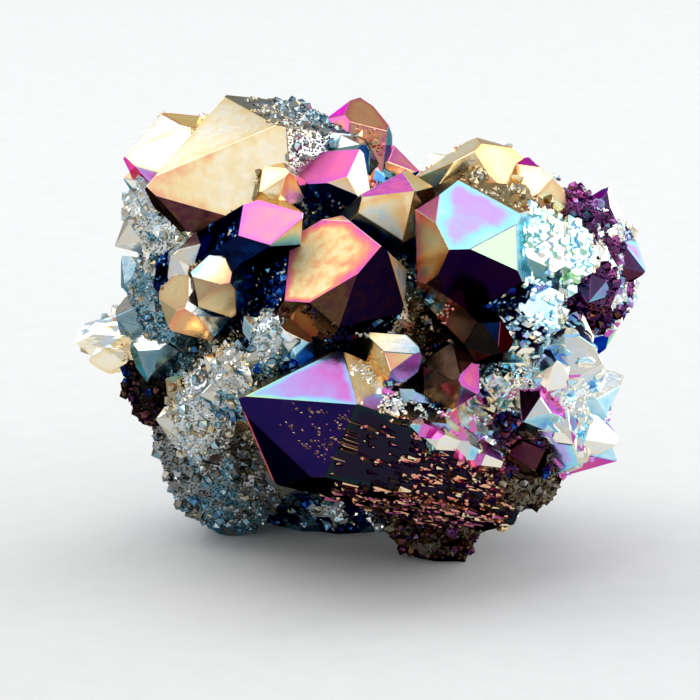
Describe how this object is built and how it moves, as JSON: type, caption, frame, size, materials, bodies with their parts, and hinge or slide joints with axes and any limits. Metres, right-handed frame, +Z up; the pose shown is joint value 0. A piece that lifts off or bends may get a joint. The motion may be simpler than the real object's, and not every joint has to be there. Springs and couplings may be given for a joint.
{
  "type": "aura quartz cluster",
  "caption": "Small cluster of intergrown quartz points with an iridescent metal coating, a display specimen that rests on its flat broken underside.",
  "frame": {"origin": "centre of the bounding box at its bottom, on the flat underside", "axes": "+X along the cluster's width, which is its longest extent, +Y towards its back, +Z up; the largest point lies across the front"},
  "size_m": [0.0494, 0.0372, 0.0388],
  "materials": {
    "aura_quartz": "quartz with a vapour-bonded metal film: glossy, opaque and iridescent, from pale gold through magenta and violet to blue"
  },
  "bodies": {
    "root": {"quartz_cluster": "aura_quartz"}
  },
  "joints": []
}
